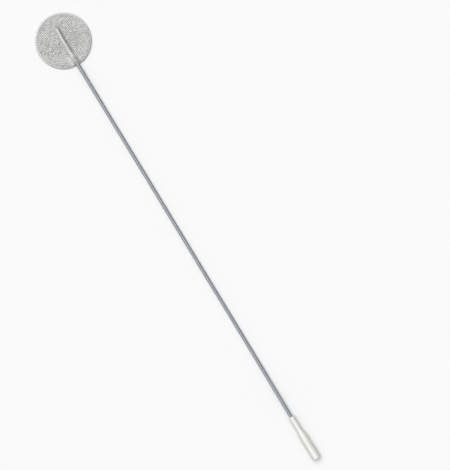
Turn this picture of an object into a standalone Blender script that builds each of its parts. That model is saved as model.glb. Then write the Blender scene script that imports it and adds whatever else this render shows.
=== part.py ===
"""Round self-adhesive electrotherapy electrode with a pigtail lead and a 2 mm pin socket.

The pad lies with its adhesive face up: knitted conductive fabric below, clear gel above.
The bare end of the lead lies between them, under a white insulating strip.
Origin: centre of the pad on the surface it lies on. +X runs along the lead, +Z is up. Metres.
"""

import math

import bmesh
import bpy
from mathutils import Vector

# Pad
PAD_DIAMETER = 0.0320
FABRIC_THICKNESS = 0.00050
GEL_THICKNESS = 0.00090
LAMINATE_GAP = 0.00015

# Knit: wales run along X and courses along Y
COURSE_PITCH = 0.00107
WALE_PITCH = 0.00134
LOOP_RELIEF = 0.00016
WALE_GROOVE_WIDTH = 0.00050
WALE_GROOVE_DEPTH = 0.00012

# Lead
LEAD_DIAMETER = 0.0019
LEAD_SIDE = 0.00011
LEAD_FLOOR_GAP = 0.00002
FREE_LEAD_LENGTH = 0.23255
STRAND_BUNDLE_DIAMETER = 0.00070
STRANDS_IN_OUTER_LAYER = 6
STRAND_VALLEY_SHARE = 0.80
STRAND_LAY_LENGTH = 0.0075
LEAD_END_GAP = 0.00030

# Insulating strip over the bare strands
STRIP_WALL = 0.00015
STRIP_CLEARANCE = 0.00012
STRIP_SIDE_CLEARANCE = 0.00032
STRIP_FLARE_LENGTH = 0.0025
STRANDS_SET_BACK = 0.00060

# Gel drawn over the strip and the lead like a tent
TENT_CLEARANCE = 0.00015
TENT_SPREAD = 0.0020
TENT_RAMP = 0.0022
GEL_SQUEEZE = 0.16

# Socket contact, turned and slotted
SOCKET_BORE = 0.00210
CONTACT_WALL = 0.00038
CONTACT_BORE_DEPTH = 0.0110
CONTACT_WEB = 0.0020
CRIMP_LENGTH = 0.0050
CRIMP_WALL = 0.00045
CRIMP_CLEARANCE = 0.00012
CRIMP_DENT_DEPTH = 0.00025
CRIMP_DENT_RADIUS = 0.00120
SLOT_WIDTH = 0.00035
SLOT_LENGTH = 0.0070

# Moulded sleeve round the contact
SLEEVE_SIDE = -0.00004
SLEEVE_YAW = math.radians(0.55)
SLEEVE_CLEARANCE = 0.00015
LEAD_CLEARANCE = 0.00010
NECK_WALL = 0.00058
NECK_WAIST = 0.00006
NECK_LENGTH = 0.0085
TAPER_LENGTH = 0.0047
MOUTH_WALL = 0.00064
BODY_FLARE = 0.00014
MOUTH_LIP = 0.0012
MOUTH_HOLE = 0.00250
MOUTH_ROUND = 0.00018
LEAD_GRIP = 0.0075

# Facets
PAD_FACETS = 96
GEL_CELLS_ALONG = 26
GEL_CELLS_ACROSS = 28
GEL_CROWDING = 1.7
STRIP_FACES_AROUND = 10
TURNED_STEPS = 32
LEAD_BEVEL_RESOLUTION = 2
TAPER_POINTS = 6
ROUND_POINTS = 3
SHARP_ANGLE = math.radians(35)

FABRIC_GREY = (0.50, 0.50, 0.49, 1.0)
GEL_CLEAR = (0.90, 0.92, 0.91, 0.35)
STRIP_WHITE = (0.80, 0.80, 0.79, 1.0)
LEAD_GREY = (0.34, 0.36, 0.39, 1.0)
SLEEVE_IVORY = (0.88, 0.88, 0.84, 1.0)
STEEL = (0.62, 0.62, 0.60, 1.0)
NICKEL = (0.70, 0.69, 0.65, 1.0)

# Sizes worked out from the ones above
PAD_RADIUS = PAD_DIAMETER / 2
LEAD_RADIUS = LEAD_DIAMETER / 2
BUNDLE_RADIUS = STRAND_BUNDLE_DIAMETER / 2
LAYER_Z = FABRIC_THICKNESS + LAMINATE_GAP
STRIP_INNER_HALF_WIDTH = BUNDLE_RADIUS + STRIP_SIDE_CLEARANCE
STRIP_INNER_HEIGHT = STRAND_BUNDLE_DIAMETER + STRIP_CLEARANCE
STRIP_HEIGHT = STRIP_INNER_HEIGHT + STRIP_WALL
STRIP_FLARE = max(1.0, (LEAD_RADIUS - STRIP_WALL) / STRIP_INNER_HALF_WIDTH)
LEAD_IN_PAD_Z = LAYER_Z + LEAD_RADIUS

CONTACT_BORE_RADIUS = SOCKET_BORE / 2
CONTACT_RADIUS = CONTACT_BORE_RADIUS + CONTACT_WALL
CRIMP_BORE_RADIUS = BUNDLE_RADIUS + CRIMP_CLEARANCE
CRIMP_RADIUS = CRIMP_BORE_RADIUS + CRIMP_WALL
GRIP_END = LEAD_GRIP + LEAD_END_GAP
CRIMP_START = GRIP_END + LEAD_END_GAP + SLEEVE_CLEARANCE
CRIMP_END = CRIMP_START + CRIMP_LENGTH
CONTACT_SHOULDER = CRIMP_END + CONTACT_WEB / 2
CONTACT_END = CRIMP_END + CONTACT_WEB + CONTACT_BORE_DEPTH
SLEEVE_START = PAD_RADIUS + FREE_LEAD_LENGTH
SLEEVE_LENGTH = CONTACT_END + SLEEVE_CLEARANCE + MOUTH_LIP
NECK_BORE_RADIUS = LEAD_RADIUS + LEAD_CLEARANCE
NECK_RADIUS = NECK_BORE_RADIUS + NECK_WALL
BODY_RADIUS = CONTACT_RADIUS + SLEEVE_CLEARANCE + MOUTH_WALL
MOUTH_RADIUS = BODY_RADIUS + BODY_FLARE
SLEEVE_AXIS_Z = max(MOUTH_RADIUS, NECK_RADIUS)

# Bare strands and their strip: distance back from the rim, and place along Y
STRIP_UNDER_GEL = [
    (0.02395, 0.00017),
    (0.01950, -0.00008),
    (0.01490, -0.00023),
    (0.01000, -0.00022),
    (0.00530, -0.00014),
]
STRIP_ROUTE = [(PAD_RADIUS - back, side) for back, side in STRIP_UNDER_GEL]

# Lead inside the pad: distance back from the rim, and how far it lies to the strip's side
LEAD_UNDER_GEL = [
    (0.00500, 0.00027),
    (0.00350, 0.00022),
    (0.00170, 0.00010),
    (-0.00060, 0.00002),
]
# Lead out of the pad: distance past the rim, and share of the way down to the surface
LEAD_COMES_DOWN = [
    (0.0060, 0.09),
    (0.0120, 0.30),
    (0.0220, 0.68),
    (0.0330, 0.94),
    (0.0440, 1.00),
]
# Lead along the surface: share of its free length, and sideways drift
LEAD_ALONG = [
    (0.25, 0.00003),
    (0.34, 0.00004),
    (0.43, 0.00002),
    (0.52, 0.00000),
    (0.62, -0.00002),
]
# Lead up to the sleeve: distance before the sleeve, and share of the way up
LEAD_GOES_UP = [
    (0.0700, 0.00),
    (0.0525, 0.05),
    (0.0350, 0.31),
    (0.0175, 0.73),
    (0.0070, 0.94),
]
LEAD_POINT_SPACING = 0.0050
STRIP_POINT_SPACING = 0.0015
STRAND_POINT_SPACING = 0.00075


def clear_scene():
    for obj in list(bpy.data.objects):
        bpy.data.objects.remove(obj)


def new_collection(name):
    collection = bpy.data.collections.new(name)
    bpy.context.scene.collection.children.link(collection)
    return collection


def new_material(name, colour, roughness, metallic=0.0):
    material = bpy.data.materials.new(name)
    material.use_nodes = True
    shader = material.node_tree.nodes["Principled BSDF"]
    shader.inputs["Base Color"].default_value = colour
    shader.inputs["Roughness"].default_value = roughness
    shader.inputs["Metallic"].default_value = metallic
    shader.inputs["Alpha"].default_value = colour[3]
    material.diffuse_color = colour
    return material


def add_object(name, data, collection, material=None, parent=None):
    obj = bpy.data.objects.new(name, data)
    collection.objects.link(obj)
    obj.parent = parent
    if material:
        data.materials.append(material)
    return obj


def mesh_from(bm, name):
    bmesh.ops.recalc_face_normals(bm, faces=bm.faces)
    mesh = bpy.data.meshes.new(name)
    bm.to_mesh(mesh)
    bm.free()
    return mesh


def add_cutter(name, mesh, cutters, parent=None):
    cutter = add_object(name, mesh, cutters, parent=parent)
    cutter.hide_render = True
    cutter.display_type = "WIRE"
    return cutter


def boolean(obj, operation, other):
    modifier = obj.modifiers.new(other.name, "BOOLEAN")
    modifier.operation = operation
    modifier.object = other
    modifier.solver = "EXACT"


def bake(obj, smooth=True):
    """Puts the evaluated shape in a plain mesh, joins its caps, and shades round faces smooth."""
    graph = bpy.context.evaluated_depsgraph_get()
    mesh = bpy.data.meshes.new_from_object(obj.evaluated_get(graph))
    bm = bmesh.new()
    bm.from_mesh(mesh)
    bmesh.ops.remove_doubles(bm, verts=bm.verts, dist=1e-7)
    bmesh.ops.recalc_face_normals(bm, faces=bm.faces)
    bm.to_mesh(mesh)
    bm.free()
    if smooth:
        mesh.shade_smooth()
        mesh.set_sharp_from_angle(angle=SHARP_ANGLE)
    name, parent, matrix = obj.name, obj.parent, obj.matrix_world.copy()
    collection = obj.users_collection[0]
    bpy.data.objects.remove(obj)
    baked = bpy.data.objects.new(name, mesh)
    collection.objects.link(baked)
    baked.parent = parent
    baked.matrix_world = matrix
    return baked


def smoothstep(t):
    t = min(max(t, 0.0), 1.0)
    return t * t * (3 - 2 * t)


def smooth_route(points, spacing):
    """Points about one spacing apart on a smooth curve through the route's own points."""
    knots = [Vector(point) for point in points]
    knots = [2 * knots[0] - knots[1]] + knots + [2 * knots[-1] - knots[-2]]
    fine = []
    for a, b, c, d in zip(knots, knots[1:], knots[2:], knots[3:]):
        before = (b - a).length
        here = (c - b).length
        after = (d - c).length
        leave = ((b - a) / before - (c - a) / (before + here) + (c - b) / here) * here
        arrive = ((c - b) / here - (d - b) / (here + after) + (d - c) / after) * here
        steps = max(1, round(here / spacing))
        for i in range(steps):
            t = i / steps
            from_b = b * (2 * t**3 - 3 * t**2 + 1) + leave * (t**3 - 2 * t**2 + t)
            from_c = c * (3 * t**2 - 2 * t**3) + arrive * (t**3 - t**2)
            fine.append(from_b + from_c)
    return fine + [knots[-2]]


def cylinder_mesh(name, radius, bottom, top, facets):
    bm = bmesh.new()
    bmesh.ops.create_cone(
        bm, cap_ends=True, segments=facets, radius1=radius, radius2=radius, depth=top - bottom
    )
    bmesh.ops.translate(bm, verts=bm.verts, vec=(0, 0, (top + bottom) / 2))
    return mesh_from(bm, name)


def pad_die(name, cutters, bottom, top):
    """The die that cuts every layer of the pad to one round edge."""
    return add_cutter(name, cylinder_mesh(name, PAD_RADIUS, bottom, top, PAD_FACETS), cutters)


# Routes


def on_sleeve_axis(distance):
    """A point on the connector's axis, a distance from the neck's end towards the mouth."""
    along = Vector((math.cos(SLEEVE_YAW), math.sin(SLEEVE_YAW), 0))
    return Vector((SLEEVE_START, SLEEVE_SIDE, SLEEVE_AXIS_Z)) + along * distance


def lead_route():
    """The lead's middle line, from its end in the pad to its end in the sleeve."""
    on_floor = LEAD_RADIUS + LEAD_FLOOR_GAP
    route = []
    for back, aside in LEAD_UNDER_GEL:
        route.append((PAD_RADIUS - back, LEAD_SIDE - aside, LEAD_IN_PAD_Z))
    for past, share in LEAD_COMES_DOWN:
        height = LEAD_IN_PAD_Z + share * (on_floor - LEAD_IN_PAD_Z)
        route.append((PAD_RADIUS + past, LEAD_SIDE, height))
    for share, drift in LEAD_ALONG:
        route.append((PAD_RADIUS + share * FREE_LEAD_LENGTH, LEAD_SIDE + drift, on_floor))
    for before, share in LEAD_GOES_UP:
        side = LEAD_SIDE + share * (SLEEVE_SIDE - LEAD_SIDE)
        height = on_floor + share * (SLEEVE_AXIS_Z - on_floor)
        route.append((SLEEVE_START - before, side, height))
    for distance in (-2 * LEAD_RADIUS, 2 * LEAD_RADIUS, LEAD_GRIP):
        route.append(tuple(on_sleeve_axis(distance)))
    return route


def middle_y(x):
    """Where the middle of the strip or of the lead in the pad lies, for a place along X."""
    points = STRIP_ROUTE + [point[:2] for point in lead_route()[1:6]]
    if x <= points[0][0]:
        return points[0][1]
    for a, b in zip(points, points[1:]):
        if x <= b[0]:
            return a[1] + (b[1] - a[1]) * (x - a[0]) / (b[0] - a[0])
    return points[-1][1]


# Knitted fabric


def loop_grid(course_step):
    """A flat grid a little larger than the pad, with a corner at each half course."""
    courses = 2 * math.ceil(PAD_RADIUS / course_step) + 2
    wales = 2 * math.ceil(PAD_RADIUS / WALE_PITCH) + 2
    bm = bmesh.new()
    bmesh.ops.create_grid(bm, x_segments=courses, y_segments=wales, size=0.5)
    for vert in bm.verts:
        vert.co.x *= courses * course_step
        vert.co.y *= wales * WALE_PITCH
    return bm


def raise_purl_loops(bm, course_step):
    """Every second corner is the head of a loop. The rest are the pits between the loops."""
    heads = set()
    for vert in bm.verts:
        column = round(vert.co.x / course_step)
        row = round(vert.co.y / WALE_PITCH)
        is_head = (column + row) % 2 == 0
        vert.co.z = FABRIC_THICKNESS - (0 if is_head else LOOP_RELIEF)
        if is_head:
            heads.add(vert)
    for face in list(bm.faces):
        first, second = [vert for vert in face.verts if vert in heads]
        bmesh.utils.face_split(face, first, second)


def wale_groove_mesh():
    """A long prism with a ridge on top, which cuts one V groove in the fabric's underside."""
    half_length = 1.2 * PAD_RADIUS
    half_width = WALE_GROOVE_WIDTH / 2
    section = [
        (-2 * half_width, -WALE_GROOVE_DEPTH),
        (2 * half_width, -WALE_GROOVE_DEPTH),
        (0, WALE_GROOVE_DEPTH),
    ]
    bm = bmesh.new()
    outline = bm.faces.new([bm.verts.new((-half_length, y, z)) for y, z in section])
    far_end = bmesh.ops.extrude_face_region(bm, geom=[outline])["geom"]
    verts = [item for item in far_end if isinstance(item, bmesh.types.BMVert)]
    bmesh.ops.translate(bm, verts=verts, vec=(2 * half_length, 0, 0))
    return mesh_from(bm, "wale_groove")


def build_fabric(parts, cutters, material):
    course_step = COURSE_PITCH / 2
    bm = loop_grid(course_step)
    raise_purl_loops(bm, course_step)
    lower = bmesh.ops.extrude_face_region(bm, geom=bm.faces[:])["geom"]
    for vert in (item for item in lower if isinstance(item, bmesh.types.BMVert)):
        vert.co.z = -FABRIC_THICKNESS
    fabric = add_object("knit_fabric", mesh_from(bm, "knit_fabric"), parts, material)
    boolean(fabric, "INTERSECT", pad_die("fabric_die", cutters, 0, 2 * FABRIC_THICKNESS))

    grooves = 2 * math.ceil(PAD_RADIUS / WALE_PITCH)
    groove = add_cutter("wale_grooves", wale_groove_mesh(), cutters)
    groove.location.y = -(grooves - 1) / 2 * WALE_PITCH
    rows = groove.modifiers.new("rows", "ARRAY")
    rows.count = grooves
    rows.use_relative_offset = False
    rows.use_constant_offset = True
    rows.constant_offset_displace = (0, WALE_PITCH, 0)
    boolean(fabric, "DIFFERENCE", groove)
    return bake(fabric, smooth=False)


# Gel


def tent_height(x):
    """How far the gel is lifted off the fabric along the middle of the lead."""
    over_strip = STRIP_HEIGHT * STRIP_FLARE + TENT_CLEARANCE
    over_lead = LEAD_DIAMETER + TENT_CLEARANCE
    strip_start, strip_end = STRIP_ROUTE[0][0], STRIP_ROUTE[-1][0]
    rise = smoothstep((x - (strip_start - TENT_CLEARANCE - TENT_RAMP)) / TENT_RAMP)
    step = smoothstep((x - (strip_end - TENT_RAMP)) / TENT_RAMP)
    return rise * over_strip + step * (over_lead - over_strip)


def tent_share(away):
    """1 over the middle of the lead, falling in a bell shape to 0 where the gel lies flat."""
    half_width = LEAD_RADIUS + TENT_SPREAD
    return math.cos(math.pi / 2 * min(1.0, away / half_width)) ** 2


def build_gel(parts, cutters, material):
    reach = 1.08 * PAD_RADIUS
    bm = bmesh.new()
    bmesh.ops.create_grid(
        bm, x_segments=GEL_CELLS_ALONG, y_segments=GEL_CELLS_ACROSS, size=1.0
    )
    heights = bm.verts.layers.float.new("thickness")
    for vert in bm.verts:
        x = vert.co.x * reach
        away = abs(vert.co.y) ** GEL_CROWDING * reach
        lift = tent_height(x) * tent_share(away)
        vert.co = (x, middle_y(x) + math.copysign(away, vert.co.y), LAYER_Z + lift)
        vert[heights] = GEL_THICKNESS - GEL_SQUEEZE * lift
    upper = bmesh.ops.extrude_face_region(bm, geom=bm.faces[:])["geom"]
    for vert in (item for item in upper if isinstance(item, bmesh.types.BMVert)):
        vert.co.z += vert[heights]
    gel = add_object("gel_layer", mesh_from(bm, "gel_layer"), parts, material)
    top = LAYER_Z + LEAD_DIAMETER + 2 * GEL_THICKNESS
    boolean(gel, "INTERSECT", pad_die("gel_die", cutters, 0, top))
    return bake(gel)


# Bare strands and insulating strip


def build_strip(parts, material):
    """A film arched over the strands, open on the side that faces the fabric."""
    places = smooth_route(STRIP_ROUTE, STRIP_POINT_SPACING)
    end = places[-1]
    bm = bmesh.new()
    bmesh.ops.create_grid(
        bm, x_segments=len(places) - 1, y_segments=STRIP_FACES_AROUND, size=0.5
    )
    for vert in bm.verts:
        i = round((vert.co.x + 0.5) * (len(places) - 1))
        run = places[min(i + 1, len(places) - 1)] - places[max(i - 1, 0)]
        side = Vector((-run.y, run.x)).normalized()
        flare = smoothstep(1 - (end - places[i]).length / STRIP_FLARE_LENGTH)
        size = 1 + (STRIP_FLARE - 1) * flare
        angle = math.pi * (vert.co.y + 0.5)
        place = places[i] - side * (STRIP_INNER_HALF_WIDTH * size * math.cos(angle))
        vert.co = (place.x, place.y, LAYER_Z + STRIP_INNER_HEIGHT * size * math.sin(angle))
    strip = add_object("insulating_strip", mesh_from(bm, "insulating_strip"), parts, material)
    if strip.data.polygons[0].normal.z < 0:
        strip.data.flip_normals()
    wall = strip.modifiers.new("wall", "SOLIDIFY")
    wall.thickness = STRIP_WALL
    wall.offset = 1.0
    return bake(strip)


def strand_outline(cutters):
    """Section of the bundle: a lobe for each strand of its outer layer."""
    corners = 2 * STRANDS_IN_OUTER_LAYER
    curve = bpy.data.curves.new("strand_outline", "CURVE")
    spline = curve.splines.new("POLY")
    spline.points.add(corners - 1)
    for i, point in enumerate(spline.points):
        radius = BUNDLE_RADIUS * (1.0 if i % 2 == 0 else STRAND_VALLEY_SHARE)
        angle = 2 * math.pi * i / corners
        point.co = (radius * math.cos(angle), radius * math.sin(angle), 0, 1)
    spline.use_cyclic_u = True
    outline = add_object("strand_outline", curve, cutters)
    outline.hide_render = True
    return outline


def build_strands(name, places, outline, parts, material):
    """Twisted strands along a line of points: the section turns once in each lay length."""
    curve = bpy.data.curves.new(name, "CURVE")
    curve.dimensions = "3D"
    curve.bevel_mode = "OBJECT"
    curve.bevel_object = outline
    curve.use_fill_caps = True
    spline = curve.splines.new("POLY")
    spline.points.add(len(places) - 1)
    for point, place in zip(spline.points, places):
        point.co = (*place, 1)
        point.tilt = 2 * math.pi * (place - places[0]).length / STRAND_LAY_LENGTH
    return bake(add_object(name, curve, parts, material))


def pad_strand_places():
    """Points under the strip, set back from its free end and short of the lead's end."""
    height = LAYER_Z + BUNDLE_RADIUS
    route = [(x, y, height) for x, y in STRIP_ROUTE]
    inner = Vector(route[0])
    inner += (Vector(route[1]) - inner).normalized() * STRANDS_SET_BACK
    outer = Vector(route[-1])
    outer.x = PAD_RADIUS - LEAD_UNDER_GEL[0][0] - LEAD_END_GAP
    return smooth_route([inner, *route[1:-1], outer], STRAND_POINT_SPACING)


# Lead


def build_lead(parts, material):
    places = smooth_route(lead_route(), LEAD_POINT_SPACING)
    curve = bpy.data.curves.new("lead_jacket", "CURVE")
    curve.dimensions = "3D"
    curve.bevel_depth = LEAD_RADIUS
    curve.bevel_resolution = LEAD_BEVEL_RESOLUTION
    curve.use_fill_caps = True
    spline = curve.splines.new("POLY")
    spline.points.add(len(places) - 1)
    for point, place in zip(spline.points, places):
        point.co = (*place, 1)
    return bake(add_object("lead_jacket", curve, parts, material))


# Socket connector, made on its own axis: local Z runs from the neck to the mouth


def turned(name, profile, collection, material=None, parent=None):
    """Turns a profile of (radius, height) points round local Z."""
    mesh = bpy.data.meshes.new(name)
    edges = [(i, i + 1) for i in range(len(profile) - 1)]
    if profile[0][0] > 0:
        edges.append((len(profile) - 1, 0))
    mesh.from_pydata([(radius, 0, height) for radius, height in profile], edges, [])
    obj = add_object(name, mesh, collection, material, parent)
    screw = obj.modifiers.new("turn", "SCREW")
    screw.axis = "Z"
    screw.angle = 2 * math.pi
    screw.steps = TURNED_STEPS
    screw.render_steps = TURNED_STEPS
    screw.use_merge_vertices = True
    screw.merge_threshold = 1e-6
    return obj


def arc(centre, radius, start_angle, end_angle):
    """Points of a round in a profile."""
    points = []
    for i in range(ROUND_POINTS + 1):
        angle = start_angle + (end_angle - start_angle) * i / ROUND_POINTS
        points.append(
            (centre[0] + radius * math.cos(angle), centre[1] + radius * math.sin(angle))
        )
    return points


def sleeve_profile():
    """Down the outer side from the mouth to the neck, then up the stepped bore."""
    body_start = NECK_LENGTH + TAPER_LENGTH
    crimp_bore = CRIMP_RADIUS + SLEEVE_CLEARANCE
    contact_bore = CONTACT_RADIUS + SLEEVE_CLEARANCE
    mouth_hole = MOUTH_HOLE / 2
    seat = CONTACT_SHOULDER - SLEEVE_CLEARANCE
    stop = CONTACT_END + SLEEVE_CLEARANCE
    waist = NECK_RADIUS - NECK_WAIST
    neck_round = 0.6 * NECK_WALL
    mouth_centre = (MOUTH_RADIUS - MOUTH_ROUND, SLEEVE_LENGTH - MOUTH_ROUND)
    outer = arc(mouth_centre, MOUTH_ROUND, math.pi / 2, 0)
    for i in range(TAPER_POINTS + 1):
        radius = waist + (BODY_RADIUS - waist) * smoothstep(1 - i / TAPER_POINTS)
        outer.append((radius, body_start - TAPER_LENGTH * i / TAPER_POINTS))
    outer += arc((NECK_RADIUS - neck_round, neck_round), neck_round, 0, -math.pi / 2)
    inner = [
        (NECK_BORE_RADIUS, 0),
        (NECK_BORE_RADIUS, GRIP_END - abs(crimp_bore - NECK_BORE_RADIUS)),
        (crimp_bore, GRIP_END),
        (crimp_bore, seat),
        (contact_bore, seat + contact_bore - crimp_bore),
        (contact_bore, stop),
        (mouth_hole, stop),
        (mouth_hole, SLEEVE_LENGTH),
    ]
    return outer + inner


def contact_profile():
    """From the bottom of the pin bore, out round the barrel, to the bottom of the crimp bore."""
    lead_in = 0.5 * CONTACT_WALL
    bore_bottom = CRIMP_END + CONTACT_WEB
    return [
        (0, bore_bottom),
        (CONTACT_BORE_RADIUS, bore_bottom),
        (CONTACT_BORE_RADIUS, CONTACT_END - lead_in),
        (CONTACT_BORE_RADIUS + lead_in, CONTACT_END),
        (CONTACT_RADIUS, CONTACT_END),
        (CONTACT_RADIUS, CONTACT_SHOULDER + (CONTACT_RADIUS - CRIMP_RADIUS)),
        (CRIMP_RADIUS, CONTACT_SHOULDER),
        (CRIMP_RADIUS, CRIMP_START),
        (CRIMP_BORE_RADIUS, CRIMP_START),
        (CRIMP_BORE_RADIUS, CRIMP_END),
        (0, CRIMP_END),
    ]


def slot_mesh():
    """A blade that cuts two opposite slots from the mouth of the contact."""
    bm = bmesh.new()
    bmesh.ops.create_cube(bm, size=1.0)
    for vert in bm.verts:
        vert.co.x *= 3 * CONTACT_RADIUS
        vert.co.y *= SLOT_WIDTH
        vert.co.z = vert.co.z * 2 * SLOT_LENGTH + CONTACT_END
    return mesh_from(bm, "contact_slot")


def build_contact(parts, cutters, axis, material):
    contact = turned("socket_contact", contact_profile(), parts, material, axis)
    for i, name in enumerate(("slot_a", "slot_b")):
        slot = add_cutter(name, slot_mesh(), cutters, axis)
        slot.rotation_euler.z = math.pi / 4 + i * math.pi / 2
        boolean(contact, "DIFFERENCE", slot)
    reach = 2 * CRIMP_RADIUS
    for name, side in (("crimp_dent_a", 1), ("crimp_dent_b", -1)):
        tool = cylinder_mesh(name, CRIMP_DENT_RADIUS, -reach, reach, TURNED_STEPS)
        dent = add_cutter(name, tool, cutters, axis)
        dent.rotation_euler.x = math.pi / 2
        dent.location.x = side * (CRIMP_RADIUS + CRIMP_DENT_RADIUS - CRIMP_DENT_DEPTH)
        dent.location.z = CRIMP_START + CRIMP_LENGTH / 2
        boolean(contact, "DIFFERENCE", dent)
    return bake(contact)


def build_connector(parts, cutters, outline, materials):
    axis = add_object("connector_axis", None, parts)
    axis.location = on_sleeve_axis(0)
    axis.rotation_euler = (0, math.pi / 2, SLEEVE_YAW)
    bpy.context.view_layer.update()
    bake(turned("connector_sleeve", sleeve_profile(), parts, materials["sleeve"], axis))
    build_contact(parts, cutters, axis, materials["contact"])
    ends = [on_sleeve_axis(GRIP_END), on_sleeve_axis(CRIMP_END - CRIMP_CLEARANCE)]
    places = smooth_route(ends, STRAND_POINT_SPACING)
    build_strands("crimped_strands", places, outline, parts, materials["strands"])


def main():
    clear_scene()
    parts = new_collection("electrode_pad")
    cutters = new_collection("cutters")
    materials = {
        "fabric": new_material("fabric", FABRIC_GREY, 0.8),
        "gel": new_material("gel", GEL_CLEAR, 0.15),
        "strip": new_material("strip", STRIP_WHITE, 0.6),
        "lead": new_material("lead", LEAD_GREY, 0.4),
        "sleeve": new_material("sleeve", SLEEVE_IVORY, 0.35),
        "strands": new_material("strands", STEEL, 0.35, 1.0),
        "contact": new_material("contact", NICKEL, 0.25, 1.0),
    }
    outline = strand_outline(cutters)
    build_fabric(parts, cutters, materials["fabric"])
    build_gel(parts, cutters, materials["gel"])
    build_strip(parts, materials["strip"])
    build_strands("pad_strands", pad_strand_places(), outline, parts, materials["strands"])
    build_lead(parts, materials["lead"])
    build_connector(parts, cutters, outline, materials)


main()
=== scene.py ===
"""Looks of the round electrode pad with its lead and pin socket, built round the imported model.

Seen from straight above on a pale floor in soft studio light. Metres, +Z up, +X along the lead.
"""

import math

import bpy
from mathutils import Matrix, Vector, noise
from mathutils.geometry import intersect_point_line


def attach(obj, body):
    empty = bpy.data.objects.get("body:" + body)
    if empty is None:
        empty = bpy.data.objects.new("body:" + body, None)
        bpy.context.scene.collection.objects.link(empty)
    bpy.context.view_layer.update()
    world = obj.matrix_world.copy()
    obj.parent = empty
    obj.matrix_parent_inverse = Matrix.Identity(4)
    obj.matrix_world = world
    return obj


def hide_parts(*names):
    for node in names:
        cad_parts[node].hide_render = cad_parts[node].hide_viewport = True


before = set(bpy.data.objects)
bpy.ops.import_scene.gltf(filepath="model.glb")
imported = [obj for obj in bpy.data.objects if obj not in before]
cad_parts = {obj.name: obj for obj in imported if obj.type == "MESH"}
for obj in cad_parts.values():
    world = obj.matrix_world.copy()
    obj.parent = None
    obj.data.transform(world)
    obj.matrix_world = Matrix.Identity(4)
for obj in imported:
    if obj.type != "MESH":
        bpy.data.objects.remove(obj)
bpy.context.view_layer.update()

# Photograph: 450 x 470 pixels, seen from straight above
PHOTO_HEIGHT = 470
PIXEL = 0.000566
PHOTO_CENTRE = (0.14130, 0.02125)
PHOTO_TURN = math.radians(58.78)
LENS = 180
SENSOR = 36

# Pad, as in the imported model
PAD_RADIUS = 0.0160
FABRIC_THICKNESS = 0.00050
GEL_THICKNESS = 0.00090
GEL_BASE_Z = 0.00065
GEL_SINK = 0.0001
GEL_ROUND = 0.00095
GEL_CHAMFER = 0.00004
RIM_EDGE = 0.0001

# Lead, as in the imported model
LEAD_DIAMETER = 0.0019
LEAD_RADIUS = LEAD_DIAMETER / 2
LEAD_SIDE = 0.00011
LEAD_IN_PAD_Z = 0.0016
LEAD_ON_FLOOR_Z = LEAD_RADIUS + 0.00002
FREE_LEAD_LENGTH = 0.23255
LEAD_GRIP = 0.0075
LEAD_POINT_SPACING = 0.002
SLEEVE_START = PAD_RADIUS + FREE_LEAD_LENGTH
SLEEVE_SIDE = -0.00004
SLEEVE_YAW = math.radians(0.55)
SLEEVE_AXIS_Z = 0.00236

# Route of the strip and the lead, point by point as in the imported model

# How far inside the pad's edge, and how far towards +Y from the pad's middle
STRIP_UNDER_GEL = [
    (0.02395, 0.00017),
    (0.01950, -0.00008),
    (0.01490, -0.00023),
    (0.01000, -0.00022),
    (0.00530, -0.00014),
]
STRIP_ROUTE = [(PAD_RADIUS - back, side) for back, side in STRIP_UNDER_GEL]
# How far inside the pad's edge, and how far towards -Y from the free lead
LEAD_UNDER_GEL = [
    (0.00500, 0.00027),
    (0.00350, 0.00022),
    (0.00170, 0.00010),
    (-0.00060, 0.00002),
]
# How far past the pad's edge, and the share of the way down to the floor
LEAD_COMES_DOWN = [
    (0.0060, 0.09),
    (0.0120, 0.30),
    (0.0220, 0.68),
    (0.0330, 0.94),
    (0.0440, 1.00),
]
# Share of the free length, and how far towards +Y from its start
LEAD_ALONG = [
    (0.25, 0.00003),
    (0.34, 0.00004),
    (0.43, 0.00002),
    (0.52, 0.00000),
    (0.62, -0.00002),
]
# How far before the sleeve, and the share of the way up to its axis
LEAD_GOES_UP = [
    (0.0700, 0.00),
    (0.0525, 0.05),
    (0.0350, 0.31),
    (0.0175, 0.73),
    (0.0070, 0.94),
]
# The lead's route points by the pad, without the one at the strip's end
LEAD_BY_PAD = slice(1, 6)

# Gel: its tent over the strip and the lead, its faint waves, its facets and its rim
TENT_OVER_STRIP = 0.00131
TENT_OVER_LEAD = 0.00205
TENT_RAMP = 0.0022
TENT_START = -0.0103
TENT_HALF_WIDTH = 0.00295
GEL_SQUEEZE = 0.16
GEL_WAVE_HEIGHT = 0.000012
GEL_WAVE_SCALE = 420
GEL_FACETS = 288
GEL_ROWS = 52
GEL_ROUND_STEPS = 7
RIM_WIDTH = 0.00095
# Tone of the painted shade on the rim's side away from the light
RIM_SHADOW = 0.76
UNDERSIDE_NORMAL = -0.5

# How much the gel hides: little, and more over the lead's first stretch, where it is cloudy
GEL_ALPHA = 0.07
PALE_ALPHA = 0.30
PALE_LEAD_X = 0.0121
PALE_LEAD_HALF_LENGTH = 0.0021
PALE_LEAD_HALF_WIDTH = 0.0013

# Where the gel has come off the knit beside the lead: middle, half length and half width
PALE_PATCHES = [(0.0116, -0.0022, 0.0030, 0.0016), (0.0130, 0.0030, 0.0016, 0.0005)]
PALE_TONE = 0.6
PATCH_UNEVENNESS = 0.3
PATCH_SCALE = 700
POCKET_REACH = 0.85
POCKET_RAGGEDNESS = 0.35
POCKET_SCALE = 1.6
POCKET_FACETS = 48
POCKET_LOW = FABRIC_THICKNESS + 0.000005
POCKET_HIGH = FABRIC_THICKNESS + 0.000030

# A thin pale line painted along a fold in the gel, from end to end: a painted highlight
FOLD = (Vector((0.0071, 0.0058, 0)), Vector((0.0127, 0.0024, 0)))
FOLD_HALF_WIDTH = 0.00028
FOLD_HIGHLIGHT = 0.7

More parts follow.
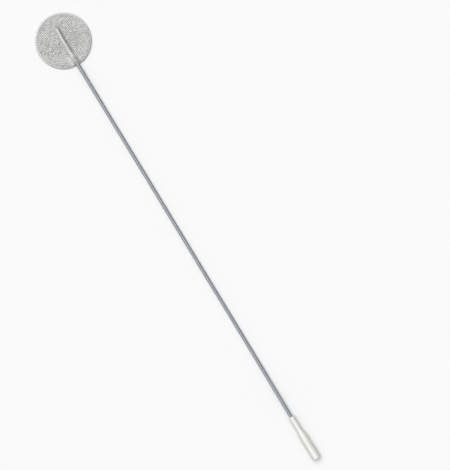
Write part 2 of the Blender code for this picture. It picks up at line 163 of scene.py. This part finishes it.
# Loops of the knit
COURSE_PITCH = 0.00106
WALE_PITCH = 0.00134
COURSE_SKEW = -0.00043
LOOP_HALF_HEIGHT = 0.00106
LOOP_BULGE = 1.10
LOOP_DEPTH = 0.00012
YARN_HALF_WIDTH = 0.00019
YARN_HALF_THICKNESS = 0.00012
YARN_STEPS = 18
YARN_SIDES = 6
YARN_INSET = 0.00012
YARN_UNDERSIDE = -0.00002
SHORTEST_RUN = 4
GROUND_INSET = 0.0001
GROUND_LOW = 0.00016
GROUND_HIGH = 0.00032
GROUND_FACETS = 160

# Brightness of the knit's inner face, on its streaked side (-Y) and its dotted side (+Y)
TONE = (0.60, 0.72)
# Painted light on the high loop arcs and painted shade on the low legs between them
ROW_LIGHT_AND_SHADE = (0.38, 0.076)
DOT_CONTRAST = (0.108, 0.36)
LOOP_CONTRAST = (0.33, 0.231)
STREAK_CONTRAST = (0.16, 0.024)
SIDES_BLEND = 0.007

# Brightness all over the inner face
CLOUD_CONTRAST = 0.34
CLOUD_SCALE = 100
CLOUD_SHIFT = Vector((1.37, 38.2, 0))
# Painted glints: loops whose noise lies above this are painted much paler
GLINT_ABOVE = 0.94
GLINT_LIFT = 0.35
# Painted light on the knit near the edge towards the light, and painted shade near the edge away
# from it
EDGE_BAND = 0.0022
EDGE_BLEND = 0.0014
EDGE_PAINTED_SHADE = 0.45

# Brightness of the outer face
OUTER_TONE = 0.50
OUTER_LOOP_CONTRAST = 0.16
OUTER_STREAK_CONTRAST = 0.12

# Noise of the streaks on both faces, for each course and each turn along it
STREAK_ACROSS = 0.83
STREAK_ALONG = 0.19
STREAK_LAYER = 2.3

# Painted shade in a crease in the knit beside the strip, with a painted highlight on its lip; it
# turns away near the strip's end
CREASE_ASIDE = 0.00118
CREASE_END_ASIDE = 0.00160
CREASE_HALF_WIDTH = 0.00066
CREASE_SHADE_DEPTH = 0.90
CREASE_MEAN = 0.9
CREASE_UNEVENNESS = 0.4
CREASE_SCALE = 480
CREASE_WANDER = 0.00022
CREASE_WANDER_SCALE = 620
CREASE_START_BLEND = 0.0018
CREASE_TURN_LENGTH = 0.0060
CREASE_TURN_BLEND = 0.0050
CREASE_END_FADE = 0.35
CREASE_TO_EDGE = 0.0022
LIP_ASIDE = 0.00125
LIP_HIGHLIGHT = 0.2
FAR_AWAY = 1.0

# Light
# Direction towards the light, for the painted light and shade on the knit's edge and on the gel's
# rim
TOWARD_LIGHT = (-0.95, -0.30, 0)
SUN_FROM = (-0.36, -0.08, 0.93)
SUN_SPREAD = math.radians(56)
SUN_STRENGTH = 1.955
SKY_STRENGTH = 0.488
SOFTBOX_FROM = (-0.30, -0.45, 0.84)
SOFTBOX_GLOSS = 4.4
REST_GLOSS = 0.15
# Cosines of the angle from the softbox's middle: where its light begins, and where it is full
SOFTBOX_BEGINS = 0.40
SOFTBOX_FULL = 0.98

# Floor and backdrop
FLOOR_HALF_SIZE = 4.0
FLOOR_COLOUR = 0.99
PAPER_CONTRAST = 0.004
FLOOR_BOUNCE = 0.12
BACKGROUND = 0.955

# Most of a noise texture lies between these
NOISE_LOW = 0.3
NOISE_HIGH = 0.7


def smoothstep(t):
    t = min(max(t, 0.0), 1.0)
    return t * t * (3 - 2 * t)


def between(pair, share):
    """The number a share of the way from the pair's first to its second."""
    first, second = pair
    return first + share * (second - first)


def smooth_route(points, spacing):
    """Points about one spacing apart on a smooth curve through the route's own points."""
    knots = [Vector(point) for point in points]
    knots = [2 * knots[0] - knots[1]] + knots + [2 * knots[-1] - knots[-2]]
    fine = []
    for a, b, c, d in zip(knots, knots[1:], knots[2:], knots[3:]):
        before = (b - a).length
        here = (c - b).length
        after = (d - c).length
        leave = ((b - a) / before - (c - a) / (before + here) + (c - b) / here) * here
        arrive = ((c - b) / here - (d - b) / (here + after) + (d - c) / after) * here
        steps = max(1, round(here / spacing))
        for i in range(steps):
            t = i / steps
            from_b = b * (2 * t**3 - 3 * t**2 + 1) + leave * (t**3 - 2 * t**2 + t)
            from_c = c * (3 * t**2 - 2 * t**3) + arrive * (t**3 - t**2)
            fine.append(from_b + from_c)
    return fine + [knots[-2]]


def on_sleeve_axis(distance):
    along = Vector((math.cos(SLEEVE_YAW), math.sin(SLEEVE_YAW), 0))
    return Vector((SLEEVE_START, SLEEVE_SIDE, SLEEVE_AXIS_Z)) + along * distance


def lead_route():
    """The lead's middle line, from its end in the pad to its end in the sleeve."""
    route = []
    for back, aside in LEAD_UNDER_GEL:
        route.append((PAD_RADIUS - back, LEAD_SIDE - aside, LEAD_IN_PAD_Z))
    for past, share in LEAD_COMES_DOWN:
        height = between((LEAD_IN_PAD_Z, LEAD_ON_FLOOR_Z), share)
        route.append((PAD_RADIUS + past, LEAD_SIDE, height))
    for share, drift in LEAD_ALONG:
        route.append((PAD_RADIUS + share * FREE_LEAD_LENGTH, LEAD_SIDE + drift, LEAD_ON_FLOOR_Z))
    for before, share in LEAD_GOES_UP:
        side = between((LEAD_SIDE, SLEEVE_SIDE), share)
        height = between((LEAD_ON_FLOOR_Z, SLEEVE_AXIS_Z), share)
        route.append((SLEEVE_START - before, side, height))
    for distance in (-2 * LEAD_RADIUS, 2 * LEAD_RADIUS, LEAD_GRIP):
        route.append(tuple(on_sleeve_axis(distance)))
    return route


MIDDLE_LINE = STRIP_ROUTE + [place[:2] for place in lead_route()[LEAD_BY_PAD]]


def middle_y(x):
    """Where the middle of the strip or of the lead lies, for a place along X."""
    if x <= MIDDLE_LINE[0][0]:
        return MIDDLE_LINE[0][1]
    for a, b in zip(MIDDLE_LINE, MIDDLE_LINE[1:]):
        if x <= b[0]:
            return a[1] + (b[1] - a[1]) * (x - a[0]) / (b[0] - a[0])
    return MIDDLE_LINE[-1][1]


# Materials, with noise scales in waves a metre and bump heights in metres


def grey(tone):
    return (tone, tone, tone)


class Look:
    """A Principled material and short ways to wire its textures."""

    def __init__(self, name, roughness, metallic=0.0, **sockets):
        self.material = bpy.data.materials.new(name)
        self.material.use_nodes = True
        self.tree = self.material.node_tree
        self.shader = self.tree.nodes["Principled BSDF"]
        self.shader.inputs["Roughness"].default_value = roughness
        self.shader.inputs["Metallic"].default_value = metallic
        for socket, value in sockets.items():
            self.shader.inputs[socket.replace("_", " ")].default_value = value
        self.place = self.node("ShaderNodeTexCoord").outputs["Object"]

    def node(self, kind, **settings):
        node = self.tree.nodes.new(kind)
        for key, value in settings.items():
            setattr(node, key, value)
        return node

    def link(self, source, target):
        self.tree.links.new(source, target)

    def attribute(self, name):
        """The number that the mesh holds under this name at each vertex."""
        return self.node("ShaderNodeAttribute", attribute_name=name).outputs["Fac"]

    def noise(self, scale, detail=3.0, roughness=0.6, stretch=None):
        """Noise, drawn out along the axes where stretch is below 1."""
        place = self.place
        if stretch:
            mapping = self.node("ShaderNodeMapping")
            mapping.inputs["Scale"].default_value = stretch
            self.link(place, mapping.inputs["Vector"])
            place = mapping.outputs["Vector"]
        texture = self.node("ShaderNodeTexNoise")
        texture.inputs["Scale"].default_value = scale
        texture.inputs["Detail"].default_value = detail
        texture.inputs["Roughness"].default_value = roughness
        self.link(place, texture.inputs["Vector"])
        return texture.outputs["Fac"]

    def ranged(self, source, low, high, from_low=NOISE_LOW, from_high=NOISE_HIGH):
        node = self.node("ShaderNodeMapRange")
        node.inputs["From Min"].default_value = from_low
        node.inputs["From Max"].default_value = from_high
        node.inputs["To Min"].default_value = low
        node.inputs["To Max"].default_value = high
        self.link(source, node.inputs["Value"])
        return node.outputs["Result"]

    def colours(self, source, *stops):
        ramp = self.node("ShaderNodeValToRGB")
        elements = ramp.color_ramp.elements
        while len(elements) < len(stops):
            elements.new(0.5)
        for element, (position, colour) in zip(elements, stops):
            element.position = position
            element.color = (*colour, 1.0)
        self.link(source, ramp.inputs["Fac"])
        return ramp.outputs["Color"]

    def tones(self, source, low, high):
        """One colour where a noise is low and another where it is high."""
        return self.colours(source, (NOISE_LOW, low), (NOISE_HIGH, high))

    def mixed(self, factor, first, second, blend="MIX"):
        node = self.node("ShaderNodeMix", data_type="RGBA", blend_type=blend)
        if isinstance(factor, float):
            node.inputs["Factor"].default_value = factor
        else:
            self.link(factor, node.inputs["Factor"])
        self.link(first, node.inputs["A"])
        self.link(second, node.inputs["B"])
        return node.outputs["Result"]

    def bump(self, source, height):
        node = self.node("ShaderNodeBump")
        node.inputs["Distance"].default_value = height
        node.inputs["Strength"].default_value = 1.0
        self.link(source, node.inputs["Height"])
        return node.outputs["Normal"]

    def set(self, socket, source):
        self.link(source, self.shader.inputs[socket])


def yarn_look():
    look = Look("knit_yarn", 0.62)
    shade = look.attribute("shade")
    fibres = look.noise(5200, detail=4.0)
    base = look.colours(
        shade, (0.0, (0.16, 0.16, 0.155)), (0.55, (0.94, 0.94, 0.92)), (1.0, (1.0, 1.0, 0.98))
    )
    fibre = look.tones(fibres, (0.80, 0.80, 0.79), grey(1.0))
    look.set("Base Color", look.mixed(1.0, base, fibre, "MULTIPLY"))
    look.set("Roughness", look.ranged(fibres, 0.5, 0.75))
    look.set("Normal", look.bump(fibres, 0.00003))
    return look.material


def gap_shade_look():
    look = Look("knit_gap_shade", 0.8)
    grain = look.noise(3000, detail=4.0)
    # Painted shade: a dark tone, so that the gaps between the loops look shaded
    look.set("Base Color", look.tones(grain, (0.22, 0.22, 0.215), (0.30, 0.30, 0.29)))
    look.set("Normal", look.bump(grain, 0.00003))
    return look.material


def rim_look():
    """The gel's rounded edge, which half hides the knit, with painted shade on its side away from
    the light.
    """
    look = Look("hydrogel_rim", 0.22, Alpha=0.66, IOR=1.40)
    clouds = look.noise(420)
    tone = look.tones(clouds, (0.85, 0.85, 0.84), (0.95, 0.95, 0.94))
    # Painted shade: the rim is darker on its side away from the light
    facing = look.node("ShaderNodeVectorMath", operation="DOT_PRODUCT")
    facing.inputs[1].default_value = Vector(TOWARD_LIGHT) / PAD_RADIUS
    look.link(look.place, facing.inputs[0])
    toward_light = look.ranged(facing.outputs["Value"], 0.0, 1.0, -1.0, 1.0)
    side = look.colours(toward_light, (0.0, grey(RIM_SHADOW)), (1.0, grey(1.0)))
    look.set("Base Color", look.mixed(1.0, tone, side, "MULTIPLY"))
    look.set("Roughness", look.ranged(clouds, 0.16, 0.3))
    look.set("Normal", look.bump(look.noise(900), 0.00003))
    return look.material


def pocket_look():
    """Where there is air under the gel."""
    look = Look("gel_pocket", 0.35, Alpha=0.45, IOR=1.40)
    bubbles = look.noise(1500, detail=4.0)
    look.set("Base Color", look.tones(bubbles, (0.80, 0.80, 0.79), (0.98, 0.98, 0.97)))
    look.set("Roughness", look.ranged(bubbles, 0.25, 0.45))
    look.set("Normal", look.bump(bubbles, 0.00003))
    return look.material


def gel_look():
    look = Look("hydrogel", 0.12, IOR=1.40)
    clouds = look.noise(260)
    ripples = look.noise(520, detail=2.0)
    look.set("Base Color", look.tones(clouds, (0.86, 0.87, 0.86), (0.95, 0.95, 0.94)))
    pale = look.attribute("pale")
    look.set("Alpha", look.ranged(pale, GEL_ALPHA, PALE_ALPHA, 0.0, 1.0))
    look.set("Roughness", look.ranged(clouds, 0.08, 0.2))
    look.set("Normal", look.bump(ripples, 0.00002))
    return look.material


def strip_look():
    look = Look("white_film", 0.45)
    grain = look.noise(1400, detail=4.0, stretch=(0.4, 1.0, 1.0))
    wrinkles = look.noise(700, stretch=(0.6, 1.0, 1.0))
    look.set("Base Color", look.tones(grain, grey(0.62), (0.76, 0.76, 0.755)))
    look.set("Roughness", look.ranged(grain, 0.35, 0.55))
    look.set("Normal", look.bump(wrinkles, 0.00006))
    return look.material


def lead_look():
    look = Look("lead_jacket", 0.32, Coat_Weight=0.5, Coat_Roughness=0.25)
    streaks = look.noise(900, detail=4.0, stretch=(0.05, 1.0, 1.0))
    specks = look.noise(4200, detail=2.0)
    tone = look.tones(streaks, (0.214, 0.240, 0.274), (0.246, 0.272, 0.307))
    speck = look.colours(specks, (0.30, grey(0.90)), (0.42, grey(1.0)))
    look.set("Base Color", look.mixed(1.0, tone, speck, "MULTIPLY"))
    look.set("Roughness", look.ranged(streaks, 0.26, 0.4))
    look.set("Normal", look.bump(streaks, 0.00002))
    return look.material


def sleeve_look():
    look = Look("ivory_sleeve", 0.38, Coat_Weight=0.15, Coat_Roughness=0.2)
    clouds = look.noise(180)
    grain = look.noise(6000)
    look.set("Base Color", look.tones(clouds, (0.80, 0.805, 0.755), (0.86, 0.86, 0.815)))
    look.set("Roughness", look.ranged(grain, 0.32, 0.46))
    look.set("Normal", look.bump(grain, 0.00001))
    return look.material


def metal_look(name, colour, roughness):
    """Turned or drawn metal, with slightly darker and rougher stains."""
    look = Look(name, roughness, metallic=1.0)
    turning = look.noise(1500, stretch=(1.0, 0.1, 0.1))
    stain = look.noise(600)
    stain_tone = 0.82
    dark = tuple(stain_tone * part for part in colour)
    look.set("Base Color", look.tones(stain, dark, colour))
    look.set("Roughness", look.ranged(stain, roughness - 0.06, roughness + 0.1))
    look.set("Normal", look.bump(turning, 0.00001))
    return look.material


# Camera, floor and light


def add_camera():
    camera = bpy.data.objects.new("camera", bpy.data.cameras.new("camera"))
    camera.data.lens = LENS
    camera.data.sensor_width = SENSOR
    height = PHOTO_HEIGHT * PIXEL * LENS / SENSOR
    camera.location = (*PHOTO_CENTRE, height)
    camera.rotation_euler = (0, 0, PHOTO_TURN)
    camera.data.clip_start = 0.01
    camera.data.clip_end = 20
    bpy.context.scene.collection.objects.link(camera)
    bpy.context.scene.camera = camera


def floor_look():
    """Pale paper to the camera and in reflections, and dim in the light that it throws back."""
    look = Look("floor", 0.9, Specular_IOR_Level=0.0)
    paper = look.noise(40, detail=2.0)
    pale = look.tones(paper, grey(FLOOR_COLOUR - PAPER_CONTRAST), grey(FLOOR_COLOUR))
    dim = look.tones(paper, grey(FLOOR_BOUNCE), grey(FLOOR_BOUNCE))
    rays = look.node("ShaderNodeLightPath")
    seen = look.node("ShaderNodeMath", operation="MAXIMUM")
    look.link(rays.outputs["Is Camera Ray"], seen.inputs[0])
    look.link(rays.outputs["Is Glossy Ray"], seen.inputs[1])
    look.set("Base Color", look.mixed(seen.outputs[0], dim, pale))
    return look.material


def add_floor():
    half = FLOOR_HALF_SIZE
    mesh = bpy.data.meshes.new("floor")
    corners = [(-half, -half, 0), (half, -half, 0), (half, half, 0), (-half, half, 0)]
    mesh.from_pydata(corners, [], [(0, 1, 2, 3)])
    mesh.materials.append(floor_look())
    floor = bpy.data.objects.new("floor", mesh)
    bpy.context.scene.collection.objects.link(floor)


def add_sun():
    sun = bpy.data.objects.new("key", bpy.data.lights.new("key", "SUN"))
    sun.data.energy = SUN_STRENGTH
    sun.data.angle = SUN_SPREAD
    sun.rotation_euler = Vector(SUN_FROM).to_track_quat("Z", "Y").to_euler()
    bpy.context.scene.collection.objects.link(sun)


def add_world():
    """Even light from the sky, a softbox that shows only in gloss, and the backdrop's colour."""
    world = bpy.data.worlds.new("studio")
    bpy.context.scene.world = world
    world.use_nodes = True
    tree = world.node_tree
    tree.nodes.clear()
    output = tree.nodes.new("ShaderNodeOutputWorld")
    rays = tree.nodes.new("ShaderNodeLightPath")
    place = tree.nodes.new("ShaderNodeTexCoord")
    toward = tree.nodes.new("ShaderNodeVectorMath")
    toward.operation = "DOT_PRODUCT"
    toward.inputs[1].default_value = SOFTBOX_FROM
    tree.links.new(place.outputs["Generated"], toward.inputs[0])
    box = tree.nodes.new("ShaderNodeMapRange")
    box.interpolation_type = "SMOOTHSTEP"
    box.inputs["From Min"].default_value = SOFTBOX_BEGINS
    box.inputs["From Max"].default_value = SOFTBOX_FULL
    box.inputs["To Min"].default_value = REST_GLOSS
    box.inputs["To Max"].default_value = SOFTBOX_GLOSS
    tree.links.new(toward.outputs["Value"], box.inputs["Value"])

    def background(strength):
        node = tree.nodes.new("ShaderNodeBackground")
        if isinstance(strength, float):
            node.inputs["Strength"].default_value = strength
        else:
            tree.links.new(strength, node.inputs["Strength"])
        return node.outputs[0]

    def chosen(ray, otherwise, then):
        mix = tree.nodes.new("ShaderNodeMixShader")
        tree.links.new(rays.outputs[ray], mix.inputs["Fac"])
        tree.links.new(otherwise, mix.inputs[1])
        tree.links.new(then, mix.inputs[2])
        return mix.outputs[0]

    light = chosen("Is Glossy Ray", background(SKY_STRENGTH), background(box.outputs["Result"]))
    seen = chosen("Is Camera Ray", light, background(BACKGROUND))
    tree.links.new(seen, output.inputs["Surface"])


# Meshes


def mesh_of(name, verts, faces, smooth=True):
    mesh = bpy.data.meshes.new(name)
    mesh.from_pydata([tuple(vert) for vert in verts], [], faces)
    mesh.validate()
    if smooth:
        mesh.shade_smooth()
    return mesh


def set_values(mesh, name, values):
    """Gives each vertex a number, which a material reads by its name."""
    layer = mesh.attributes.new(name, "FLOAT", "POINT")
    layer.data.foreach_set("value", values)


def angles_round(count):
    return [2 * math.pi * i / count for i in range(count)]


def ring_sides(ring):
    """Each vertex of a closed ring with the next one."""
    return zip(ring, ring[1:] + ring[:1])


def ring_faces(first, second):
    """Quads between two closed rings of the same length."""
    sides = zip(ring_sides(first), ring_sides(second))
    return [(a, b, d, c) for (a, b), (c, d) in sides]


def closed_faces(rings):
    """Faces of a solid that passes through the rings, with its two ends."""
    faces = []
    for first, second in zip(rings, rings[1:]):
        faces += ring_faces(first, second)
    return faces + [tuple(reversed(rings[0])), tuple(rings[-1])]


def add_slab(verts, faces, outline, low, high):
    """A flat solid between two heights, added to the vertices and the faces."""
    rings = []
    for z in (low, high):
        rings.append(list(range(len(verts), len(verts) + len(outline))))
        verts.extend((x, y, z) for x, y in outline)
    faces.extend(closed_faces(rings))


# Pieces


def add_piece(name, data, material, slot, *nodes):
    obj = bpy.data.objects.new(name, data)
    bpy.context.scene.collection.objects.link(obj)
    data.materials.append(material)
    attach(obj, "root")
    if nodes:
        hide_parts(*nodes)
    return obj


def add_lead():
    places = smooth_route(lead_route(), LEAD_POINT_SPACING)
    curve = bpy.data.curves.new("lead", "CURVE")
    curve.dimensions = "3D"
    curve.bevel_depth = LEAD_RADIUS
    curve.bevel_resolution = 8
    curve.use_fill_caps = True
    spline = curve.splines.new("POLY")
    spline.points.add(len(places) - 1)
    for point, place in zip(spline.points, places):
        point.co = (*place, 1)
    spline.use_smooth = True
    lead = add_piece("lead", curve, lead_look(), "lead", "lead_jacket")


def add_ground():
    """The knit's closed middle, between its faces, painted dark as the shade that shows in the
    gaps between the loops.
    """
    radius = PAD_RADIUS - GROUND_INSET
    angles = angles_round(GROUND_FACETS)
    outline = [(radius * math.cos(angle), radius * math.sin(angle)) for angle in angles]
    verts, faces = [], []
    add_slab(verts, faces, outline, GROUND_LOW, GROUND_HIGH)
    mesh = mesh_of("knit_gap_shade", verts, faces, smooth=False)
    return add_piece("knit_gap_shade", mesh, gap_shade_look(), "fabric", "knit_fabric")


def stitch_point(course, turn):
    """Middle of the yarn of one course, where one turn is one wale."""
    angle = 2 * math.pi * turn
    x = course * COURSE_PITCH + COURSE_SKEW * turn + LOOP_HALF_HEIGHT * math.cos(angle)
    y = WALE_PITCH * (turn + LOOP_BULGE * math.sin(2 * angle) / (2 * math.pi))
    z = FABRIC_THICKNESS / 2 + LOOP_DEPTH * math.cos(2 * angle)
    return Vector((x, y, z))


def by_strip(place):
    """Distance from the strip's middle line, or from its far end past that, positive towards +Y.

    Far away by the pad's edge, where there is no crease.
    """
    start_x, start_y = STRIP_ROUTE[0]
    past = start_x - place.x
    if past > 0:
        return math.copysign(math.hypot(past, place.y - start_y), place.y)
    if place.x > PAD_RADIUS - CREASE_TO_EDGE:
        return FAR_AWAY
    return place.y - middle_y(place.x)


def crease(place):
    """How deep the painted shade of the crease is at a place: 1 at its bottom, and below 0 on its
    lip, which gets a painted highlight.
    """
    past_start = place.x - STRIP_ROUTE[0][0]
    past_end = place.x - STRIP_ROUTE[-1][0]
    turned = smoothstep((past_end + CREASE_TURN_LENGTH) / CREASE_TURN_BLEND)
    reach = smoothstep((past_start + CREASE_START_BLEND) / CREASE_START_BLEND)
    reach *= 1 - CREASE_END_FADE * turned
    reach *= CREASE_MEAN + CREASE_UNEVENNESS * noise.noise(place * CREASE_SCALE)
    wander = CREASE_WANDER * noise.noise(place * CREASE_WANDER_SCALE)
    aside = by_strip(place) - wander - between((CREASE_ASIDE, CREASE_END_ASIDE), turned)
    bottom = math.exp(-((aside / CREASE_HALF_WIDTH) ** 2))
    lip = math.exp(-(((aside - LIP_ASIDE) / CREASE_HALF_WIDTH) ** 2))
    return reach * (bottom - LIP_HIGHLIGHT * lip)


def lifted(place):
    """How pale the knit looks under the gel: about 1 inside the pale patches, less on the fold,
    whose paleness is a painted highlight.
    """
    share = PATCH_UNEVENNESS * noise.noise(place * PATCH_SCALE)
    for x, y, length, width in PALE_PATCHES:
        share += math.exp(-(((place.x - x) / length) ** 2) - ((place.y - y) / width) ** 2)
    # Painted highlight along the fold
    nearest, along = intersect_point_line(Vector((place.x, place.y, 0)), *FOLD)
    if 0 < along < 1:
        away = (nearest.xy - place.xy).length
        share += FOLD_HIGHLIGHT * along * math.exp(-((away / FOLD_HALF_WIDTH) ** 2))
    return max(0.0, share)


def loop_noise(course, turn):
    """A number that stays the same over each half loop."""
    return noise.cell(Vector((course + 0.5, math.floor(2 * turn + 0.5) + 0.5, 0.5)))


def streak_noise(course, turn):
    """A number that changes from course to course, and slowly along each course."""
    return noise.noise(Vector((course * STREAK_ACROSS, turn * STREAK_ALONG, STREAK_LAYER)))


def stitch_shade(place, course, turn):
    """Brightness of the yarn: loops with painted light, legs with painted shade, streaks on one
    side and dots on the other.

    A few loops get painted glints. The loops are painted pale at the edge towards the light and
    darker at the edge away from it, and the crease beside the strip gets painted shade.
    """
    swing = math.cos(2 * math.pi * turn)
    loop = loop_noise(course, turn)
    dotted = smoothstep((place.y + SIDES_BLEND / 2) / SIDES_BLEND)
    shade = between(TONE, dotted)
    # Painted light on the high arcs, painted shade on the low legs
    shade += between(ROW_LIGHT_AND_SHADE, dotted) * (swing * swing - 0.5)
    shade += between(DOT_CONTRAST, dotted) * swing
    shade += between(LOOP_CONTRAST, dotted) * (loop - 0.5)
    shade += between(STREAK_CONTRAST, dotted) * streak_noise(course, turn)
    shade += CLOUD_CONTRAST * noise.noise(place * CLOUD_SCALE + CLOUD_SHIFT)
    # Painted glints on a few loops
    if loop > GLINT_ABOVE:
        shade += GLINT_LIFT
    # Painted light and shade near the pad's edge
    by_edge = smoothstep((place.xy.length - (PAD_RADIUS - EDGE_BAND)) / EDGE_BLEND)
    toward_light = Vector(TOWARD_LIGHT).dot(place) / PAD_RADIUS
    shade += by_edge * (max(0.0, toward_light) + EDGE_PAINTED_SHADE * min(0.0, toward_light))
    # Paler where the gel has come off and on the fold, whose paleness is a painted highlight, and
    # darker by the crease's painted shade
    return shade + PALE_TONE * lifted(place) - CREASE_SHADE_DEPTH * crease(place)


def outer_shade(course, turn):
    """Brightness of the yarn on the fabric's outer face, which is plain."""
    shade = OUTER_TONE + OUTER_LOOP_CONTRAST * (loop_noise(course, turn) - 0.5)
    return shade + OUTER_STREAK_CONTRAST * streak_noise(course, turn)


def yarn_runs(course, half_turns):
    """The stretches of one course inside the pad's edge, as places with their turns."""
    runs = [[]]
    for i in range(-half_turns * YARN_STEPS, half_turns * YARN_STEPS + 1):
        turn = i / YARN_STEPS
        place = stitch_point(course, turn)
        if place.xy.length < PAD_RADIUS - YARN_INSET:
            runs[-1].append((place, turn))
        else:
            runs.append([])
    return [run for run in runs if len(run) >= SHORTEST_RUN]


def add_yarn(run, course, verts, faces, shades):
    """One stretch of flattened yarn, added to the vertices, the faces and the brightness."""
    places = [place for place, turn in run]
    rings = []
    for (place, turn), before, after in zip(run, places[:1] + places, places[1:] + places[-1:]):
        along = after - before
        side = Vector((-along.y, along.x, 0)).normalized()
        up = along.cross(side).normalized()
        shade = stitch_shade(place, course, turn)
        under = outer_shade(course, turn)
        ring = []
        for angle in angles_round(YARN_SIDES):
            offset = side * (YARN_HALF_WIDTH * math.cos(angle))
            offset += up * (YARN_HALF_THICKNESS * math.sin(angle))
            ring.append(len(verts))
            verts.append(place + offset)
            shades.append(under if offset.z < YARN_UNDERSIDE else shade)
        rings.append(ring)
    faces.extend(closed_faces(rings))


def add_yarns():
    """Every course of the knit as one yarn in real loops, cut off at the pad's edge."""
    half_turns = math.ceil(PAD_RADIUS / WALE_PITCH) + 1
    slant = abs(COURSE_SKEW) * half_turns
    courses = math.ceil((PAD_RADIUS + slant) / COURSE_PITCH) + 1
    verts, faces, shades = [], [], []
    for course in range(-courses, courses + 1):
        for run in yarn_runs(course, half_turns):
            add_yarn(run, course, verts, faces, shades)
    mesh = mesh_of("knit_yarns", verts, faces)
    set_values(mesh, "shade", [min(max(shade, 0.0), 1.0) for shade in shades])
    return add_piece("knit_yarns", mesh, yarn_look(), "fabric", "knit_fabric")


def tent_lift(x, y):
    """How far the gel is lifted off the fabric."""
    rise = smoothstep((x - TENT_START) / TENT_RAMP)
    step = smoothstep((x - (STRIP_ROUTE[-1][0] - TENT_RAMP)) / TENT_RAMP)
    height = rise * TENT_OVER_STRIP + step * (TENT_OVER_LEAD - TENT_OVER_STRIP)
    away = abs(y - middle_y(x))
    return height * math.cos(math.pi / 2 * min(1.0, away / TENT_HALF_WIDTH)) ** 2


def pale_share(place):
    """1 over the lead's first stretch, where the gel is cloudy."""
    along = (place.x - PALE_LEAD_X) / PALE_LEAD_HALF_LENGTH
    aside = (place.y - middle_y(place.x)) / PALE_LEAD_HALF_WIDTH
    return math.exp(-(along**4) - aside**2)


def gel_section():
    """Half a section of the gel, from the middle of its top round to the middle of its underside.

    Each point is a radius, a share of the thickness, and a height added to that.
    """
    flat_radius = PAD_RADIUS - GEL_ROUND
    section = [(flat_radius * (i / GEL_ROWS), 1.0, 0.0) for i in range(GEL_ROWS + 1)]
    for i in range(1, GEL_ROUND_STEPS + 1):
        turn = math.pi / 2 * i / GEL_ROUND_STEPS
        added = (GEL_THICKNESS - RIM_EDGE) * (math.cos(turn) - 1)
        section.append((flat_radius + GEL_ROUND * math.sin(turn), 1.0, added))
    section.append((PAD_RADIUS, 0.0, GEL_CHAMFER))
    for i in range(GEL_ROWS, -1, -1):
        section.append(((PAD_RADIUS - GEL_CHAMFER) * (i / GEL_ROWS), 0.0, 0.0))
    return section


def gel_point(angle, radius, share, added):
    """A point of the section, turned by an angle and lifted by the tent."""
    x, y = radius * math.cos(angle), radius * math.sin(angle)
    lift = tent_lift(x, y)
    wave = GEL_WAVE_HEIGHT * noise.noise(Vector((x, y, 0)) * GEL_WAVE_SCALE)
    thickness = GEL_THICKNESS - GEL_SQUEEZE * lift + wave
    return (x, y, GEL_BASE_Z - GEL_SINK * (1 - share) + lift + share * thickness + added)


def gel_mesh():
    """The section turned all round, with a fan of triangles at each of its two middles."""
    verts, rings = [], []
    for radius, share, added in gel_section():
        ring = []
        for angle in angles_round(GEL_FACETS if radius else 1):
            ring.append(len(verts))
            verts.append(gel_point(angle, radius, share, added))
        rings.append(ring)
    faces = []
    for first, second in zip(rings, rings[1:]):
        if len(first) == 1:
            faces += [(first[0], a, b) for a, b in ring_sides(second)]
        elif len(second) == 1:
            faces += [(b, a, second[0]) for a, b in ring_sides(first)]
        else:
            faces += ring_faces(second, first)
    return mesh_of("gel", verts, faces)


def add_gel():
    """The clear gel: flat on the knit, drawn up over the strip and the lead, with a round rim."""
    mesh = gel_mesh()
    set_values(mesh, "pale", [pale_share(vert.co) for vert in mesh.vertices])
    add_piece("gel", mesh, gel_look(), "gel", "gel_layer")
    mesh.materials.append(rim_look())
    for face in mesh.polygons:
        by_edge = face.center.xy.length > PAD_RADIUS - RIM_WIDTH
        by_lead = face.center.x > 0 and abs(face.center.y) < TENT_HALF_WIDTH
        if by_edge and not by_lead and face.normal.z > UNDERSIDE_NORMAL:
            face.material_index = 1


def pocket_outline(x, y, length, width):
    """A ragged oval round a place. Each place has a stretch of the noise to itself."""
    start = Vector((x, y, 0)) * 1000
    outline = []
    for angle in angles_round(POCKET_FACETS):
        toward = Vector((math.cos(angle), math.sin(angle), 0))
        ragged = noise.noise(toward * POCKET_SCALE + start)
        reach = POCKET_REACH + POCKET_RAGGEDNESS * ragged
        outline.append((x + length * reach * toward.x, y + width * reach * toward.y))
    return outline


def add_pockets():
    """The thin pale pockets of air between the knit and the gel, beside the lead."""
    verts, faces = [], []
    for patch in PALE_PATCHES:
        add_slab(verts, faces, pocket_outline(*patch), POCKET_LOW, POCKET_HIGH)
    mesh = mesh_of("gel_pockets", verts, faces, smooth=False)
    add_piece("gel_pockets", mesh, pocket_look(), "gel", "gel_layer")


def dress_nodes():
    """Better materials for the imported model's own pieces."""
    looks = {
        "insulating_strip": strip_look(),
        "connector_sleeve": sleeve_look(),
        "socket_contact": metal_look("nickel", (0.72, 0.70, 0.64), 0.24),
        "pad_strands": metal_look("steel", (0.60, 0.60, 0.59), 0.34),
    }
    looks["crimped_strands"] = looks["pad_strands"]
    for node, material in looks.items():
        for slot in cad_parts[node].material_slots:
            slot.material = material


bpy.context.scene.view_settings.view_transform = "Standard"
add_camera()
add_lead()
add_floor()
add_sun()
add_world()
ground = add_ground()
yarns = add_yarns()
add_gel()
add_pockets()
dress_nodes()
